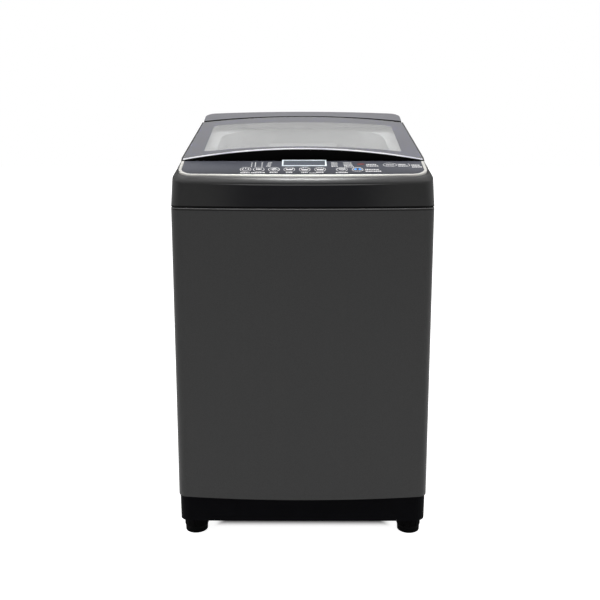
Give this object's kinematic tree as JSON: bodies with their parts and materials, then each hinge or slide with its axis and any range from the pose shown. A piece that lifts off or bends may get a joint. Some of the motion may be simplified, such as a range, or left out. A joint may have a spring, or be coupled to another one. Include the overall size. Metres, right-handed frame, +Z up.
{
  "type": "top load washing machine",
  "caption": "Free-standing top-loading washing machine with a hinged crowned glass lid, sloping key panel, sprung tub, spin basket and belt-driven pulsator.",
  "frame": {"origin": "on the floor under the middle of the machine's bounding box", "axes": "+X to the viewer's right, +Y to the back, +Z up"},
  "size_m": [0.597, 0.66, 1.0185],
  "materials": {
    "cabinet_paint": "satin dark grey enamel",
    "cover_plastic": "glossy dark grey moulding",
    "rear_gloss": "glossy dark grey moulding",
    "base_plastic": "black fine-grained moulding",
    "panel_film": "smooth dark grey film",
    "trim_cream": "satin cream silver",
    "display_frame": "satin pale silver",
    "display_glass": "smoked display lens",
    "key_film": "smooth dark grey key top",
    "lid_glass": "clear toughened glass with a dark printed border",
    "lid_plastic": "glossy dark grey moulding",
    "lid_chrome": "bright plated strip",
    "throat_pale": "pale grey moulding",
    "tub_plastic": "pale grey moulding",
    "pulsator_plastic": "smooth blue-grey moulding",
    "basket_steel": "brushed stainless steel",
    "zinc_steel": "zinc-plated steel",
    "rear_paint": "satin grey coated sheet",
    "cast_alloy": "die-cast alloy",
    "black_rubber": "matt black rubber",
    "foot_plastic": "black moulding",
    "board_green": "coated circuit board",
    "valve_white": "white moulding"
  },
  "bodies": {
    "cabinet": {"cabinet_wrap": "cabinet_paint", "rear_panel": "rear_paint", "corner_gussets": "zinc_steel", "base_frame": "base_plastic", "top_cover": "cover_plastic", "opening_frame": "throat_pale", "rear_top_cover": "rear_gloss", "control_panel": "panel_film", "panel_trim": "trim_cream", "display_bezel": "display_frame", "display_window": "display_glass", "control_board": "board_green", "dispenser_housing": "throat_pale", "inlet_valve": "valve_white", "lid_switch": "base_plastic", "level_sensor": "valve_white", "drain_outlet": "base_plastic", "cord_gland": "black_rubber", "cabinet_screws": "zinc_steel", "suspension_rods": "zinc_steel", "suspension_springs": "zinc_steel", "drain_hose": "black_rubber"},
    "lid": {"lid_frame": "lid_plastic", "lid_glass": "lid_glass", "lid_trim": "lid_chrome", "hinge_pins": "zinc_steel"},
    "drawer": {"detergent_drawer": "throat_pale"},
    "tub": {"outer_tub": "tub_plastic", "tub_ring": "tub_plastic", "mounting_plate": "zinc_steel", "plate_bolts": "zinc_steel", "gear_case": "cast_alloy", "spin_bearings": "zinc_steel", "shaft_seal": "black_rubber", "motor": "cast_alloy", "drive_belt": "black_rubber", "drain_valve": "valve_white", "damper_cups": "valve_white"},
    "basket": {"basket_wall": "basket_steel", "basket_floor": "pulsator_plastic", "balance_ring": "tub_plastic", "lint_filters": "pulsator_plastic", "spin_tube": "zinc_steel"},
    "agitator": {"pulsator": "pulsator_plastic", "pulsator_cap": "pulsator_plastic", "wash_shaft": "zinc_steel", "drive_pulley": "cast_alloy"},
    "rotor": {"motor_pulley": "cast_alloy"},
    "button_power_body": {"button_power": "key_film"},
    "button_program_body": {"button_program": "key_film"},
    "button_level_body": {"button_level": "key_film"},
    "button_soak_body": {"button_soak": "key_film"},
    "button_wash_body": {"button_wash": "key_film"},
    "button_rinse_body": {"button_rinse": "key_film"},
    "button_spin_body": {"button_spin": "key_film"},
    "button_start_body": {"button_start": "key_film"},
    "foot_front_left_body": {"foot_front_left": "foot_plastic"},
    "foot_front_right_body": {"foot_front_right": "foot_plastic"},
    "foot_rear_left_body": {"foot_rear_left": "foot_plastic"},
    "foot_rear_right_body": {"foot_rear_right": "foot_plastic"}
  },
  "joints": [
    {"name": "lid_hinge", "type": "hinge", "parent": "cabinet", "child": "lid", "pos_m": [0, 0.23, 0.97687], "axis": [-1, 0, 0], "range_deg": [0, 100]},
    {"name": "drawer_slide", "type": "slide", "parent": "cabinet", "child": "drawer", "axis": [0, -1, 0], "range_m": [0, 0.075]},
    {"name": "tub_bounce", "type": "slide", "parent": "cabinet", "child": "tub", "axis": [0, 0, 1], "range_m": [-0.02, 0.008], "stiffness_N_per_m": 16000, "springref_m": 0.02163, "deforming": ["suspension_springs", "drain_hose"]},
    {"name": "basket_spin", "type": "hinge", "parent": "tub", "child": "basket", "pos_m": [0, 0.0025, 0.262], "axis": [0, 0, 1], "continuous": true},
    {"name": "pulsator_spin", "type": "hinge", "parent": "tub", "child": "agitator", "pos_m": [0, 0.0025, 0.2], "axis": [0, 0, 1], "continuous": true},
    {"name": "motor_spin", "type": "hinge", "parent": "tub", "child": "rotor", "pos_m": [0, 0.1675, 0.092], "axis": [0, 0, 1], "continuous": true},
    {"name": "button_power_press", "type": "slide", "parent": "cabinet", "child": "button_power_body", "axis": [0, 0.274, -0.9617], "range_m": [0, 0.001], "stiffness_N_per_m": 400, "springref_m": -0.0005},
    {"name": "button_program_press", "type": "slide", "parent": "cabinet", "child": "button_program_body", "axis": [0, 0.274, -0.9617], "range_m": [0, 0.001], "stiffness_N_per_m": 400, "springref_m": -0.0005},
    {"name": "button_level_press", "type": "slide", "parent": "cabinet", "child": "button_level_body", "axis": [0, 0.274, -0.9617], "range_m": [0, 0.001], "stiffness_N_per_m": 400, "springref_m": -0.0005},
    {"name": "button_soak_press", "type": "slide", "parent": "cabinet", "child": "button_soak_body", "axis": [0, 0.274, -0.9617], "range_m": [0, 0.001], "stiffness_N_per_m": 400, "springref_m": -0.0005},
    {"name": "button_wash_press", "type": "slide", "parent": "cabinet", "child": "button_wash_body", "axis": [0, 0.274, -0.9617], "range_m": [0, 0.001], "stiffness_N_per_m": 400, "springref_m": -0.0005},
    {"name": "button_rinse_press", "type": "slide", "parent": "cabinet", "child": "button_rinse_body", "axis": [0, 0.274, -0.9617], "range_m": [0, 0.001], "stiffness_N_per_m": 400, "springref_m": -0.0005},
    {"name": "button_spin_press", "type": "slide", "parent": "cabinet", "child": "button_spin_body", "axis": [0, 0.274, -0.9617], "range_m": [0, 0.001], "stiffness_N_per_m": 400, "springref_m": -0.0005},
    {"name": "button_start_press", "type": "slide", "parent": "cabinet", "child": "button_start_body", "axis": [0, 0.274, -0.9617], "range_m": [0, 0.001], "stiffness_N_per_m": 400, "springref_m": -0.0005},
    {"name": "foot_front_left_screw", "type": "slide", "parent": "cabinet", "child": "foot_front_left_body", "axis": [0, 0, -1], "range_m": [0, 0.012]},
    {"name": "foot_front_right_screw", "type": "slide", "parent": "cabinet", "child": "foot_front_right_body", "axis": [0, 0, -1], "range_m": [0, 0.012]},
    {"name": "foot_rear_left_screw", "type": "slide", "parent": "cabinet", "child": "foot_rear_left_body", "axis": [0, 0, -1], "range_m": [0, 0.012]},
    {"name": "foot_rear_right_screw", "type": "slide", "parent": "cabinet", "child": "foot_rear_right_body", "axis": [0, 0, -1], "range_m": [0, 0.012]}
  ],
  "couplings": [
    {"joint": "motor_spin", "follows": "pulsator_spin", "ratio": 4.5509}
  ]
}
